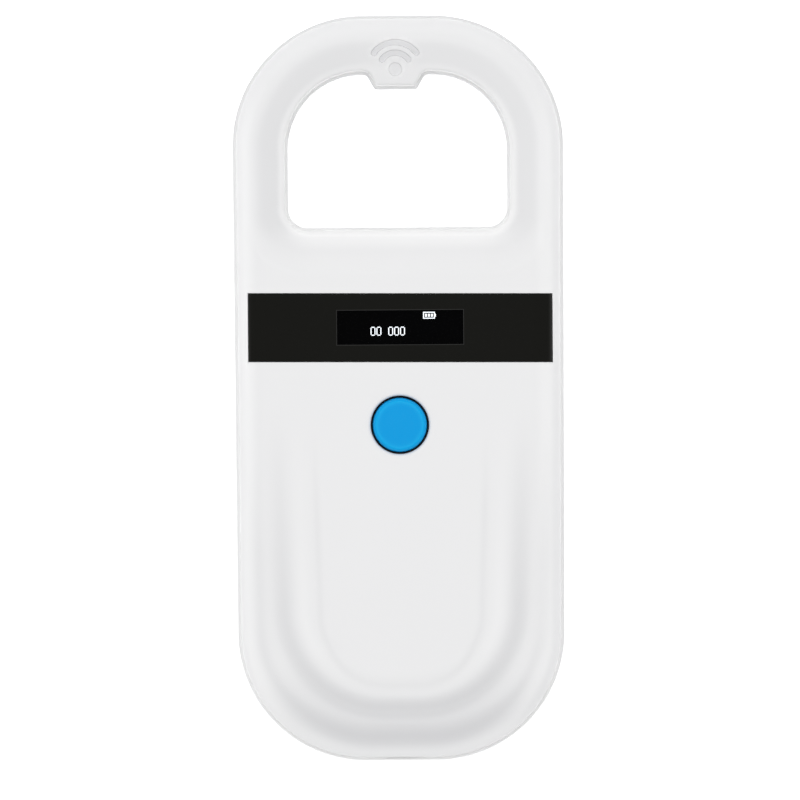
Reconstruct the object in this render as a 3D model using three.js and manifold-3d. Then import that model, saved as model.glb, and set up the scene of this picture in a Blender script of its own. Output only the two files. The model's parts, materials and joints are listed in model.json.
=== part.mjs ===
// Hand-held animal microchip reader, in millimetres. It lies on its flat back at z = 0,
// with the reading loop towards +Y, the charging socket towards -Y and the display facing +Z.
import * as THREE from 'three';
import { mergeVertices } from 'three/addons/utils/BufferGeometryUtils.js';
import Module from 'manifold-3d';

const wasm = await Module();
wasm.setup();

// ---- driving dimensions ----
const thickness = 20;
const seamZ = 10;
const seamGap = 0.3;
const clearance = 0.3;
const wall = 2;
const frontStep = 0.65;      // the back shell stands this far proud of the front one
const frontEdge = 5;         // edge rounding of the front shell
const backEdge = 3.5;        // edge rounding of the back shell

const body = { topSide: 30, top: 67.5, topRadius: 23.6, footSide: 29.6, foot: -67.5, footRadius: 23.2 };
const handHole = { topSide: 19.9, top: 56.8, topRadius: 13.6, footSide: 19.9, foot: 29.1, footRadius: 3.6 };
const tab = { topHalf: 5.35, bottomHalf: 3.8, height: 2.8 };
const slope = { reach: 6, overTab: 3, fall: 2.6 };   // the loop's face falls towards the hand hole

const strip = { half: 27.45, x: 0.2, y: 10.86, halfHeight: 6.13, depth: 0.9 };
const display = { y: 10.93, halfWidth: 11.6, halfHeight: 3.2, margin: 0.9 };
const panel = { halfWidth: 15, halfHeight: 5.75, top: 16.9, depth: 1.4 };
const button = { y: -6.7, radius: 4.95, top: 20.4, flangeRadius: 6.5, flangeTop: 16.9, flangeFoot: 16 };
const seal = { inner: 5.05, outer: 5.3, top: 19.5, flangeRadius: 6.9, flangeTop: 17.7, flangeFoot: 17.2 };
const well = { radius: 5.4, mouth: 5.8, chamfer: 0.4, foot: 14 };
const cavity = { roof: 16, deepHalf: 24, deepTop: 21, deepFoot: -36 };   // the deep part is under the display
const lip = { gap: 0.35, thick: 0.6, holeThick: 0.5, reach: 1 };        // locates one shell in the other
const bosses = { caseRadius: 2.8, boardRadius: 2.5, sink: 1 };

const symbol = { y: 57.7, depth: 0.35, dot: 1.2, arcs: [[2.7, 3.7, 1.0], [4.55, 5.5, 0.92]] };
const terraces = [
  { half: 15.3, foot: -54.8, radius: 14.5, start: -6, fall: 0.35, spread: 0.63 },
  { half: 21.4, foot: -59.2, radius: 20, start: -6, fall: 1.1, spread: 1.98 },
];
const beyond = { half: 40, length: 80, above: 1 };   // reach of the cutting blocks past the housing

const board = { topSide: 20.3, top: 20.8, topRadius: 2, footSide: 17.6, foot: -62.6, footRadius: 14 };
const boardFoot = 8.4;
const boardTop = 10;
const onBoard = boardTop + clearance;
const underBoard = boardFoot - clearance;

const caseScrews = [[23.8, 18.8], [-23.8, 18.8], [21.5, -50], [-21.5, -50]];
const caseScrew = { head: 1.9, headFoot: 0.8, headTop: 2.4, shank: 1, tip: 14.6, bore: 2.2, drill: 1.3 };
const boardScrews = [[17.6, -2], [-17.6, -2], [13.5, -53], [-13.5, -53]];
const boardScrew = { head: 1.8, headFoot: 6.6, headTop: 8.1, shank: 0.9, tip: 13.8, drill: 1.2 };

const socket = { half: 3.9, mouth: -66.3, back: -60.7, foot: 10.3, height: 2.7, skin: 0.35 };
const cell = { half: 15, front: 2, back: -38, foot: 3.1, top: 7.6 };
const buzzer = { x: 0, y: 13.4, radius: 4.5, foot: 4.2 };
const sound = { count: 7, spacing: 2.4, radius: 0.6 };   // holes behind the buzzer
const coil = { foot: 22.4, footRadius: 8, low: 7.6, high: 12.4, inset: 3.5, outset: 3.4 };
const switchBody = { half: 3, top: 13.7, bore: 1.95, boreFoot: 12.4 };
const plunger = { radius: 1.75, foot: 13, top: 15 };

const quarter = Math.PI / 2;

// ---- finishes ----
const white = { color: 0xf1f1f2, roughness: 0.45 };
const black = { color: 0x1a1a1a, roughness: 0.6 };
const glass = { color: 0x1c1c1a, roughness: 0.1 };
const foam = { color: 0x1a1b1c, roughness: 0.95 };
const amber = { color: 0xa8641e, roughness: 0.35 };
const blue = { color: 0x1d9ede, roughness: 0.4 };
const rubber = { color: 0x121214, roughness: 0.8 };
const green = { color: 0x14532a, roughness: 0.4 };
const ceramic = { color: 0xb4552a, roughness: 0.5 };
const red = { color: 0xb01818, roughness: 0.5 };
const ivory = { color: 0xe9e4d6, roughness: 0.5 };
const steel = { color: 0xc4c6ca, roughness: 0.28, metalness: 1 };
const copper = { color: 0xb06a34, roughness: 0.35, metalness: 0.8 };
const foil = { color: 0xb4b8be, roughness: 0.35, metalness: 0.6 };

// ---- outlines ----
// Arc-cornered outline, wider or narrower at its foot than at its top, grown outwards by grow.
function outline(o, grow = 0) {
  const path = new THREE.Shape();
  const topX = o.topSide - o.topRadius;
  const topY = o.top - o.topRadius;
  const footX = o.footSide - o.footRadius;
  const footY = o.foot + o.footRadius;
  path.absarc(topX, topY, o.topRadius + grow, 0, quarter);
  path.absarc(-topX, topY, o.topRadius + grow, quarter, 2 * quarter);
  path.absarc(-footX, footY, o.footRadius + grow, 2 * quarter, 3 * quarter);
  path.absarc(footX, footY, o.footRadius + grow, 3 * quarter, 4 * quarter);
  path.closePath();
  return path;
}

function polygon(points) {
  return new THREE.Shape(points.map(([x, y]) => new THREE.Vector2(x, y)));
}

function roundedBar(half, halfHeight, radius) {
  const ends = { topSide: half, footSide: half, top: halfHeight, foot: -halfHeight };
  return outline({ ...ends, topRadius: radius, footRadius: radius });
}

// Band between two radii about +Y, with round ends.
function arcBand(inner, outer, spread) {
  const middle = (inner + outer) / 2;
  const half = (outer - inner) / 2;
  const path = new THREE.Shape();
  path.absarc(0, 0, outer, quarter - spread, quarter + spread);
  const far = quarter + spread;
  path.absarc(middle * Math.cos(far), middle * Math.sin(far), half, far, far + 2 * quarter);
  path.absarc(0, 0, inner, quarter + spread, quarter - spread, true);
  const near = quarter - spread;
  path.absarc(middle * Math.cos(near), middle * Math.sin(near), half, near - 2 * quarter, near);
  path.closePath();
  return path;
}

// ---- solids ----
function solid(geometry) {
  const bare = geometry.clone();
  bare.deleteAttribute('normal');
  bare.deleteAttribute('uv');
  const welded = mergeVertices(bare, 1e-4);
  const vertProperties = new Float32Array(welded.attributes.position.array);
  const triVerts = [];
  const corners = welded.index.array;
  for (let i = 0; i < corners.length; i += 3) {
    const [a, b, c] = [corners[i], corners[i + 1], corners[i + 2]];
    if (a !== b && b !== c && c !== a) triVerts.push(a, b, c);
  }
  const mesh = new wasm.Mesh({ numProp: 3, vertProperties, triVerts: new Uint32Array(triVerts) });
  return new wasm.Manifold(mesh);
}

function plate(shape, low, high, arcSteps = 5) {
  const settings = { depth: high - low, bevelEnabled: false, curveSegments: arcSteps };
  return solid(new THREE.ExtrudeGeometry(shape, settings).translate(0, 0, low));
}

// Plate with both faces' edges rounded to a quarter circle.
function softPlate(shape, low, high, edge, steps = 4, arcSteps = 5) {
  const geometry = new THREE.ExtrudeGeometry(shape, {
    depth: high - low - 2 * edge,
    bevelThickness: edge,
    bevelSize: edge,
    bevelOffset: -edge,
    bevelSegments: steps,
    curveSegments: arcSteps,
  });
  return solid(geometry.translate(0, 0, low + edge));
}

// Funnel that widens from one offset of a shape at low to another at high.
function flare(shape, innerGrow, outerGrow, low, high) {
  const geometry = new THREE.ExtrudeGeometry(shape, {
    depth: 2,
    bevelThickness: high - low,
    bevelSize: outerGrow - innerGrow,
    bevelOffset: innerGrow,
    bevelSegments: 1,
    curveSegments: 5,
  });
  return solid(geometry.translate(0, 0, high));
}

function box(x0, x1, y0, y1, z0, z1) {
  const geometry = new THREE.BoxGeometry(x1 - x0, y1 - y0, z1 - z0);
  return solid(geometry.translate((x0 + x1) / 2, (y0 + y1) / 2, (z0 + z1) / 2));
}

// Block that stands on z = 0, centred on the Z axis.
function block(x, y, z) {
  return box(-x / 2, x / 2, -y / 2, y / 2, 0, z);
}

function rod(radius, low, high, x = 0, y = 0, sides = 16) {
  const geometry = new THREE.CylinderGeometry(radius, radius, high - low, sides);
  return solid(geometry.rotateX(quarter).translate(x, y, (low + high) / 2));
}

// Turned piece about the Z axis from [radius, z] points that run from its foot to its top.
function turned(profile, sides) {
  const points = profile.map(([r, z]) => new THREE.Vector2(r, z));
  return solid(new THREE.LatheGeometry(points, sides).rotateX(quarter));
}

function wire(points, radius, steps) {
  const path = new THREE.CatmullRomCurve3(points.map((p) => new THREE.Vector3(...p)));
  const section = new THREE.Shape().absarc(0, 0, radius, 0, 4 * quarter);
  const settings = { steps, extrudePath: path, curveSegments: 4 };
  return solid(new THREE.ExtrudeGeometry(section, settings));
}

// ---- scene ----
const group = new THREE.Group();

function assembly(name, parent, position = [0, 0, 0]) {
  const made = new THREE.Group();
  made.name = name;
  made.position.set(...position);
  parent.add(made);
  return made;
}

function add(parent, name, piece, finish, position = [0, 0, 0]) {
  const { vertProperties, triVerts } = piece.getMesh();
  const geometry = new THREE.BufferGeometry();
  geometry.setAttribute('position', new THREE.BufferAttribute(new Float32Array(vertProperties), 3));
  geometry.setIndex(new THREE.BufferAttribute(new Uint32Array(triVerts), 1));
  geometry.computeVertexNormals();
  const mesh = new THREE.Mesh(geometry, new THREE.MeshStandardMaterial(finish));
  mesh.name = name;
  mesh.position.set(...position);
  parent.add(mesh);
  return mesh;
}

// ---- housing ----
function handHoleOutline(grow) {
  return outline(handHole, grow);
}

// The hand hole as seen from the front, less the symbol tab that hangs from its top.
function handHoleCut(grow, low, high) {
  const tabFoot = handHole.top - tab.height;
  const tabShape = polygon([
    [-tab.bottomHalf, tabFoot], [tab.bottomHalf, tabFoot],
    [tab.topHalf, handHole.top], [tab.topHalf, handHole.top + 2],
    [-tab.topHalf, handHole.top + 2], [-tab.topHalf, handHole.top],
  ]);
  return plate(handHoleOutline(grow), low, high).subtract(plate(tabShape, low - 1, high + 1));
}

function frontForm(depth) {
  const shape = outline(body, -frontStep - depth);
  return softPlate(shape, 0, thickness - depth, frontEdge - depth);
}

// Everything beyond a U-shaped panel sinks towards the tail on a slight ramp.
function terraceCut({ half, foot, radius, start, fall, spread }) {
  const tail = start - body.foot;
  const ramp = new THREE.BoxGeometry(2 * beyond.half, tail + 5, 4).translate(0, -(tail + 5) / 2, 2);
  ramp.rotateX(Math.atan2(fall, tail)).translate(0, start, thickness);
  const panelShape = outline({
    topSide: half, footSide: half, top: 30, foot, topRadius: 2, footRadius: radius,
  });
  const stay = flare(panelShape, spread, 0, thickness - fall - 1, thickness);
  return solid(ramp).subtract(stay);
}

function symbolCut() {
  const low = thickness - slope.fall - symbol.depth;
  const dot = new THREE.Shape().absarc(0, 0, symbol.dot, 0, 4 * quarter);
  const shapes = [dot, ...symbol.arcs.map(([inner, outer, spread]) => arcBand(inner, outer, spread))];
  const cuts = shapes.map((shape) => plate(shape, low, thickness, 4).translate([0, symbol.y, 0]));
  return cuts[0].add(cuts[1]).add(cuts[2]);
}

// The loop's sloped face, sunk by the symbol's depth: what the symbol is cut down to.
function slopeCut(sink) {
  const low = thickness - slope.fall - sink;
  return flare(handHoleOutline(0), -slope.overTab, slope.reach, low, thickness - sink);
}

function boss(radius, low, high, [x, y]) {
  return rod(radius, low, high, x, y, 20);
}

function frontShell() {
  const seam = seamZ + seamGap / 2;
  const inner = frontStep + wall;
  let shell = frontForm(0).subtract(slopeCut(0));
  shell = shell.subtract(symbolCut().intersect(slopeCut(symbol.depth)));
  for (const terrace of terraces) shell = shell.subtract(terraceCut(terrace));
  const over = thickness + beyond.above;
  shell = shell.intersect(box(-beyond.half, beyond.half, -beyond.length, beyond.length, seam, over));
  const bay = plate(outline(body, -inner), 0, cavity.roof);
  const island = plate(handHoleOutline(inner), -1, cavity.roof + 1);
  const { deepHalf, deepFoot, deepTop } = cavity;
  const deepBay = box(-deepHalf, deepHalf, deepFoot, deepTop, 0, thickness - wall);
  shell = shell.subtract(bay.subtract(island)).subtract(deepBay);
  const caseBossTop = cavity.roof + bosses.sink;
  const boardBossTop = thickness - wall + bosses.sink / 4;
  for (const at of caseScrews) shell = shell.add(boss(bosses.caseRadius, seam, caseBossTop, at));
  for (const at of boardScrews) shell = shell.add(boss(bosses.boardRadius, onBoard, boardBossTop, at));
  const lipOuter = plate(outline(body, lip.gap - inner), seam - lip.reach, seam + lip.reach);
  const lipInner = plate(outline(body, -inner - lip.thick), 0, thickness);
  const holeLipOuter = plate(handHoleOutline(inner + lip.holeThick), seam - lip.reach, seam + lip.reach);
  const holeLipInner = plate(handHoleOutline(inner - lip.gap), 0, thickness);
  shell = shell.add(lipOuter.subtract(lipInner)).add(holeLipOuter.subtract(holeLipInner));
  shell = shell.subtract(handHoleCut(frontStep, 0, over));
  shell = shell.subtract(displayRecess(seam)).subtract(buttonWell());
  for (const [x, y] of caseScrews) {
    shell = shell.subtract(rod(caseScrew.drill, 0, caseScrew.tip + 2 * clearance, x, y));
  }
  for (const [x, y] of boardScrews) {
    shell = shell.subtract(rod(boardScrew.drill, 0, boardScrew.tip + 2 * clearance, x, y));
  }
  return shell.subtract(socketPort());
}

function displayRecess(foot) {
  const across = strip.half + clearance;
  const tall = strip.halfHeight + clearance;
  const over = thickness + beyond.above;
  const trough = box(strip.x - across, strip.x + across, strip.y - tall, strip.y + tall, foot, over);
  const halfX = display.halfWidth + display.margin;
  const halfY = display.halfHeight + display.margin;
  const low = panel.top - panel.depth;
  const opening = box(-halfX, halfX, display.y - halfY, display.y + halfY, low, thickness);
  return trough.subtract(frontForm(strip.depth + clearance)).add(opening);
}

function buttonWell() {
  const over = thickness + beyond.above;
  const profile = [
    [0, well.foot], [well.radius, well.foot], [well.radius, thickness - well.chamfer],
    [well.mouth, thickness], [well.mouth, over], [0, over],
  ];
  return turned(profile, 40).translate([0, button.y, 0]);
}

// Opening in the end wall round the charging socket, open towards the seam.
function socketPort() {
  const half = socket.half + clearance;
  const middle = socket.foot + socket.height / 2;
  const depth = socket.back - body.foot;
  const mouth = plate(roundedBar(half, socket.height / 2 + clearance, 0.8), 0, depth + 1, 2);
  const foot = box(-half, half, body.foot - 1, body.foot + depth - 1.3, boardFoot, middle);
  return mouth.rotate([90, 0, 0]).translate([0, socket.back - 0.5, middle]).add(foot);
}

function rearShell() {
  const seam = seamZ - seamGap / 2;
  let shell = softPlate(outline(body), 0, thickness, backEdge);
  shell = shell.intersect(box(-beyond.half, beyond.half, -beyond.length, beyond.length, -1, seam));
  const bay = plate(outline(body, -wall), wall, thickness);
  shell = shell.subtract(bay.subtract(plate(handHoleOutline(wall), 0, thickness + 1)));
  for (const at of caseScrews) shell = shell.add(boss(bosses.caseRadius, wall / 2, seam, at));
  const flareSize = 1.5;   // the hand hole widens towards the back
  const underFlare = flare(handHoleOutline(0), 0, flareSize, 0, flareSize)
    .mirror([0, 0, 1]).translate([0, 0, flareSize]);
  shell = shell.subtract(handHoleCut(0, -1, thickness)).subtract(underFlare);
  for (const [x, y] of caseScrews) {
    shell = shell.subtract(rod(caseScrew.drill, 0, thickness, x, y));
    shell = shell.subtract(rod(caseScrew.bore, -1, caseScrew.headTop + clearance, x, y, 20));
  }
  for (let i = 0; i < sound.count; i += 1) {
    const out = i === 0 ? 0 : sound.spacing;
    const turn = (i * 4 * quarter) / (sound.count - 1);
    const [x, y] = [buzzer.x + out * Math.cos(turn), buzzer.y + out * Math.sin(turn)];
    shell = shell.subtract(rod(sound.radius, -1, wall + 1, x, y, 8));
  }
  return shell;
}

// ---- display: pieces lie about the middle of the strip ----
function displayWindow() {
  const { half, x, y, halfHeight, depth } = strip;
  const over = thickness + beyond.above;
  const bar = box(x - half, x + half, y - halfHeight, y + halfHeight, thickness / 2, over);
  return bar.intersect(frontForm(0)).subtract(frontForm(depth)).translate([0, -y, 0]);
}

function displayGasket() {
  const outer = plate(roundedBar(panel.halfWidth, panel.halfHeight, 0.6), 0, 0.5, 1);
  const inner = plate(roundedBar(display.halfWidth + 1, display.halfHeight + 1, 0.5), -1, 1, 1);
  return outer.subtract(inner);
}

// Ribbon that leaves the display's right end, turns over and lands on the board; drawn in X and Y,
// with its width along Z.
function displayFlex() {
  const [skin, middle, radius] = [0.25, 13.3, 2.9];
  const start = panel.halfWidth + clearance;
  const end = 11;
  const shape = new THREE.Shape();
  shape.moveTo(start, middle + radius);
  shape.absarc(start + 0.4, middle, radius, quarter, -quarter, true);
  shape.lineTo(end, middle - radius);
  shape.lineTo(end, middle - radius + skin);
  shape.absarc(start + 0.4, middle, radius - skin, -quarter, quarter, false);
  shape.lineTo(start, middle + radius - skin);
  shape.closePath();
  return plate(shape, 0, 8, 5);
}

// ---- button: pieces stand about the button's axis ----
function buttonCap() {
  const { radius, top, flangeRadius, flangeTop, flangeFoot } = button;
  const stemFoot = plunger.top + clearance;
  const profile = [
    [0, stemFoot], [2, stemFoot], [2, flangeFoot], [flangeRadius, flangeFoot],
    [flangeRadius, flangeTop], [radius, flangeTop], [radius, top - 0.4], [radius - 0.4, top], [0, top],
  ];
  return turned(profile, 32);
}

function buttonSeal() {
  const outer = [
    [0, seal.flangeFoot], [seal.flangeRadius, seal.flangeFoot], [seal.flangeRadius, seal.flangeTop],
    [seal.outer, seal.flangeTop], [seal.outer, seal.top], [0, seal.top],
  ];
  return turned(outer, 32).subtract(rod(seal.inner, well.foot, thickness, 0, 0, 32));
}

function tactSwitch() {
  const { half, top, bore, boreFoot } = switchBody;
  return box(-half, half, -half, half, onBoard, top).subtract(rod(bore, boreFoot, top + 1));
}

// ---- electronics ----
function mainBoard() {
  const low = 0;
  const high = boardTop - boardFoot;
  let sheet = plate(outline(board), low, high, 4);
  for (const [x, y] of boardScrews) sheet = sheet.subtract(rod(boardScrew.drill, low - 1, high + 1, x, y));
  return sheet;
}

function crystalCan() {
  return softPlate(roundedBar(4.6, 1.9, 1.85), 0, 3.2, 0.4, 1, 3);
}

// The socket's pieces run along Z from its back to its mouth.
function socketTube() {
  const outer = roundedBar(socket.half, socket.height / 2, 0.7);
  const inner = roundedBar(socket.half - socket.skin, socket.height / 2 - socket.skin, 0.5);
  const depth = socket.back - socket.mouth;
  return plate(outer, 0, depth, 2).subtract(plate(inner, -1 + socket.skin * 4, depth + 1, 2));
}

function socketTongue() {
  return box(-2.3, 2.3, 0.05, 0.65, 0.8, socket.back - socket.mouth - 0.7);
}

function antennaCoil() {
  const outer = outline({
    topSide: body.topSide, top: body.top, topRadius: body.topRadius,
    footSide: body.topSide, foot: coil.foot - coil.inset, footRadius: coil.footRadius + coil.inset,
  }, -coil.inset);
  const height = coil.high - coil.low;
  return softPlate(outer, 0, height, 0.5, 1).subtract(plate(handHoleOutline(coil.outset), -1, height + 1));
}

function coilLead(side) {
  const path = [[2, 22.1, 11], [2.1, 21, 11.5], [2.4, 19.6, 11.5], [2.6, 18.6, 10.8]];
  return wire(path.map(([x, y, z]) => [side * x, y, z]), 0.35, 10);
}

function batteryCell() {
  const long = (cell.front - cell.back) / 2;
  return softPlate(roundedBar(cell.half, long, 1.2), 0, cell.top - cell.foot, 0.8, 2, 1);
}

function batteryLead(offset, height) {
  return wire([
    [-3 + offset, cell.front + clearance, 5.4], [-3.6 + offset, 3.6, 5.4 + height],
    [-7 + offset, 4.2, 5.8 + height], [-11 + offset, 4.5, 6 + height], [-12 + offset, 6, 6.2],
  ], 0.45, 14);
}

// ---- fasteners ----
function screw({ head, headFoot, headTop, shank, tip }) {
  const neck = headTop - headFoot;
  const reach = tip - headFoot;
  const profile = [
    [0, 0], [head - 0.4, 0], [head, 0.4], [head, neck], [shank, neck], [shank, reach - 0.6], [0, reach],
  ];
  return turned(profile, 12);
}

// ---- assembly ----
const housing = assembly('housing', group);
add(housing, 'front_shell', frontShell(), white);
add(housing, 'rear_shell', rearShell(), white);
caseScrews.forEach(([x, y], i) => {
  add(housing, `housing_screw_${i + 1}`, screw(caseScrew), steel, [x, y, caseScrew.headFoot]);
});

const screen = assembly('screen', group, [0, strip.y, 0]);
const screenY = display.y - strip.y;
add(screen, 'display_window', displayWindow(), glass);
add(screen, 'display_gasket', displayGasket(), foam, [0, screenY, panel.top + clearance]);
const panelBlock = block(2 * panel.halfWidth, 2 * panel.halfHeight, panel.depth);
add(screen, 'oled_panel', panelBlock, glass, [0, screenY, panel.top - panel.depth]);
const flex = add(screen, 'oled_flex', displayFlex(), amber, [0, screenY + 4, 0]);
flex.rotation.x = quarter;

const control = assembly('control', group, [0, button.y, 0]);
add(control, 'button_cap', buttonCap(), blue);
add(control, 'button_seal', buttonSeal(), rubber);
add(control, 'switch_body', tactSwitch(), black);
add(control, 'switch_plunger', rod(plunger.radius, 0, plunger.top - plunger.foot), black, [0, 0, plunger.foot]);

const electronics = assembly('electronics', group);
const onTop = assembly('board_top', electronics, [0, 0, onBoard]);
add(electronics, 'main_board', mainBoard(), green, [0, 0, boardFoot]);
boardScrews.forEach(([x, y], i) => {
  add(electronics, `board_screw_${i + 1}`, screw(boardScrew), steel, [x, y, boardScrew.headFoot]);
});
add(onTop, 'controller_chip', block(7, 7, 1.4), black, [0, -22, 0]);
add(onTop, 'reader_chip', block(10.2, 5.2, 1.6), black, [-9, 12, 0]);
add(onTop, 'charger_chip', block(5, 4, 1.5), black, [9, -43, 0]);
add(onTop, 'crystal', crystalCan(), steel, [-10, -20, 0]);
add(onTop, 'tuning_capacitor', block(7.2, 4.4, 3.4), ceramic, [6.5, 13.5, 0]);
add(onTop, 'power_inductor', block(5.2, 5.2, 2.4), black, [-9, -42, 0]);
const buzzerForm = rod(buzzer.radius, 0, underBoard - buzzer.foot, 0, 0, 24);
add(electronics, 'buzzer', buzzerForm, black, [buzzer.x, buzzer.y, buzzer.foot]);

const charging = assembly('charging', onTop, [0, socket.back, socket.foot + socket.height / 2 - onBoard]);
charging.rotation.x = quarter;
add(charging, 'usb_shell', socketTube(), steel);
add(charging, 'usb_tongue', socketTongue(), black);

const antenna = assembly('antenna', group);
add(antenna, 'antenna_coil', antennaCoil(), copper, [0, 0, coil.low]);
add(antenna, 'coil_lead_left', coilLead(-1), copper);
add(antenna, 'coil_lead_right', coilLead(1), copper);

const power = assembly('power', group);
const cellMiddle = (cell.front + cell.back) / 2;
const padForm = block(24, cell.front - cell.back - 6, cell.foot - wall - 2 * clearance);
add(power, 'battery', batteryCell(), foil, [0, cellMiddle, cell.foot]);
add(power, 'battery_pad', padForm, foam, [0, cellMiddle, wall + clearance]);
add(power, 'battery_lead_red', batteryLead(1, 0.7), red);
add(power, 'battery_lead_black', batteryLead(-1, -0.7), black);
add(power, 'battery_plug', block(6, 3.7, 2.8), ivory, [-12, 8.15, 4.9]);
add(power, 'battery_header', block(7, 4.3, underBoard - 4.5), ivory, [-12, 12.45, 4.5]);

export default group;
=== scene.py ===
import json
import math

import bmesh
import bpy
import numpy as np
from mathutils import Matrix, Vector, geometry


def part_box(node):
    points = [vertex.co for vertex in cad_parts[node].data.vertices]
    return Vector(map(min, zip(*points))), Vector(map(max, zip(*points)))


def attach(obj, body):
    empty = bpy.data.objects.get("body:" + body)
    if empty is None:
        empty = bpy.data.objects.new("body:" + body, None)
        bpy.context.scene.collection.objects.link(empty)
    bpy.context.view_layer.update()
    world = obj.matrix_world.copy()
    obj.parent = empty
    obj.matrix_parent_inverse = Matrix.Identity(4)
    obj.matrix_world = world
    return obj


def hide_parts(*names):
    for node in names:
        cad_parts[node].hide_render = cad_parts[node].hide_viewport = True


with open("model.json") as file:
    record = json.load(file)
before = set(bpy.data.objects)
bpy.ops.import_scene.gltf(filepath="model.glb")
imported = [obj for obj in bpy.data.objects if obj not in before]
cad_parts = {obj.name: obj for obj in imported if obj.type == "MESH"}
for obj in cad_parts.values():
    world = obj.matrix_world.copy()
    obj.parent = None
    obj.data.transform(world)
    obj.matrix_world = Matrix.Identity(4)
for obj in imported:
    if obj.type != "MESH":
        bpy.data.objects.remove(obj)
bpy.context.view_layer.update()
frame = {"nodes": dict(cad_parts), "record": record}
mm = 0.001
scene = bpy.context.scene


def boxOf(node):  # a CAD node's two corners in millimetres
    low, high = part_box(node)
    return np.array(low) / mm, np.array(high) / mm


# Finishes

class Flow:  # a shader socket that maths can be written on
    def __init__(self, finish, socket):
        self.finish = finish
        self.socket = socket

    def calc(self, operation, first, second=0.0):
        return self.finish.node("Math", {"operation": operation}, {0: first, 1: second})

    def __add__(self, other):
        return self.calc("ADD", self, other)

    def __sub__(self, other):
        return self.calc("SUBTRACT", self, other)

    def __rsub__(self, other):
        return self.calc("SUBTRACT", other, self)

    def __mul__(self, other):
        return self.calc("MULTIPLY", self, other)

    __radd__ = __add__
    __rmul__ = __mul__


class Finish:  # one material: a principled shader with whatever drives it
    def __init__(self, name, **fixed):
        self.material = bpy.data.materials.new(name)
        self.material.use_nodes = True
        self.tree = self.material.node_tree
        self.shader = self.tree.nodes["Principled BSDF"]
        self.drive(**{key.replace("_", " "): value for key, value in fixed.items()})

    def drive(self, **sockets):
        for key, value in sockets.items():
            self.put(self.shader.inputs[key], value)

    def put(self, socket, value):
        if isinstance(value, Flow):
            self.tree.links.new(value.socket, socket)
        else:
            socket.default_value = value

    def node(self, kind, settings, sockets, out=0):
        made = self.tree.nodes.new("ShaderNode" + kind)
        for key, value in settings.items():
            if key == "stops":
                for stop, (place, shade) in zip(made.color_ramp.elements, value):
                    stop.position = place
                    stop.color = (shade, shade, shade, 1)
            else:
                setattr(made, key, value)
        for key, value in sockets.items():
            self.put(made.inputs[key], value)
        return Flow(self, made.outputs[out])

    def place(self):  # where a point of the piece is, in metres
        return self.node("TexCoord", {}, {}, "Object")

    def noise(self, scale, detail=2.0, rough=0.5):
        sockets = {"Vector": self.place(), "Scale": scale, "Detail": detail, "Roughness": rough}
        return self.node("TexNoise", {}, sockets, 0)

    def blendColours(self, mask, first, second):
        return self.node("Mix", {"data_type": "RGBA"}, {0: mask, 6: (*first, 1), 7: (*second, 1)}, 2)

    def bump(self, height, strength, depth):
        sockets = {"Height": height, "Strength": strength, "Distance": depth * mm}
        return self.node("Bump", {}, sockets)


def tint(colour, factor):
    return tuple(min(1.0, part * factor) for part in colour)


# Moulded plastic: fine spark-eroded grain, faint mottling and a little gloss variation.
def mouldedFinish(name, look):
    finish = Finish(name, IOR=look.get("ior", 1.46), Coat_Weight=look.get("coat", 0.0))
    mottle = finish.noise(look["mottleScale"], 3.0)
    colour = finish.blendColours(mottle, tint(look["colour"], 1 - look["mottle"]), look["colour"])
    grain = finish.noise(look["grainScale"], 4.0, 0.6)
    finish.drive(**{
        "Base Color": colour,
        "Roughness": look["roughness"] + (mottle - 0.5) * look["glossSpread"],
        "Normal": finish.bump(grain, look["grain"], look["grainDepth"]),
    })
    return finish


# Plated or turned metal with fine lines round or along the piece.
def metalFinish(name, look):
    finish = Finish(name, Metallic=1.0)
    wear = finish.noise(look["wearScale"], 4.0)
    lines = finish.noise(look["lineScale"], 2.0)
    finish.drive(**{
        "Base Color": finish.blendColours(wear, tint(look["colour"], 0.82), look["colour"]),
        "Roughness": look["roughness"] + wear * look["glossSpread"],
        "Normal": finish.bump(lines, look["line"], 0.01),
    })
    return finish


plain = {"mottleScale": 60.0, "mottle": 0.04, "grainScale": 3500.0, "grain": 0.1, "grainDepth": 0.02,
         "roughness": 0.45, "glossSpread": 0.06}
steel = {"wearScale": 300.0, "lineScale": 4000.0, "line": 0.15, "roughness": 0.24, "glossSpread": 0.1}
looks = {
    "housing_white": {**plain, "colour": (0.86, 0.86, 0.864), "mottle": 0.012, "roughness": 0.4},
    "button_blue": {**plain, "colour": (0.001, 0.332, 0.75), "mottle": 0.04, "roughness": 0.26, "ior": 1.28},
    "seal_black": {**plain, "colour": (0.006, 0.006, 0.007), "roughness": 0.75, "mottle": 0.2},
    "foam": {**plain, "colour": (0.02, 0.02, 0.021), "roughness": 0.95, "grainScale": 1500.0, "grain": 0.8,
             "grainDepth": 0.15, "mottle": 0.4},
    "display_glass": {**plain, "colour": (0.002, 0.002, 0.003), "roughness": 0.12, "grain": 0.0, "ior": 1.2},
    "flex_film": {**plain, "colour": (0.4, 0.16, 0.03), "roughness": 0.3, "mottle": 0.2},
    "component_black": {**plain, "colour": (0.018, 0.018, 0.019), "roughness": 0.55, "grain": 0.3},
    "capacitor_brown": {**plain, "colour": (0.42, 0.12, 0.04), "roughness": 0.3, "mottle": 0.15},
    "lead_red": {**plain, "colour": (0.5, 0.015, 0.012), "roughness": 0.4, "mottle": 0.1},
    "lead_black": {**plain, "colour": (0.012, 0.012, 0.013), "roughness": 0.42, "mottle": 0.2},
    "connector_ivory": {**plain, "colour": (0.8, 0.76, 0.64), "roughness": 0.42, "mottle": 0.06},
}
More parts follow.
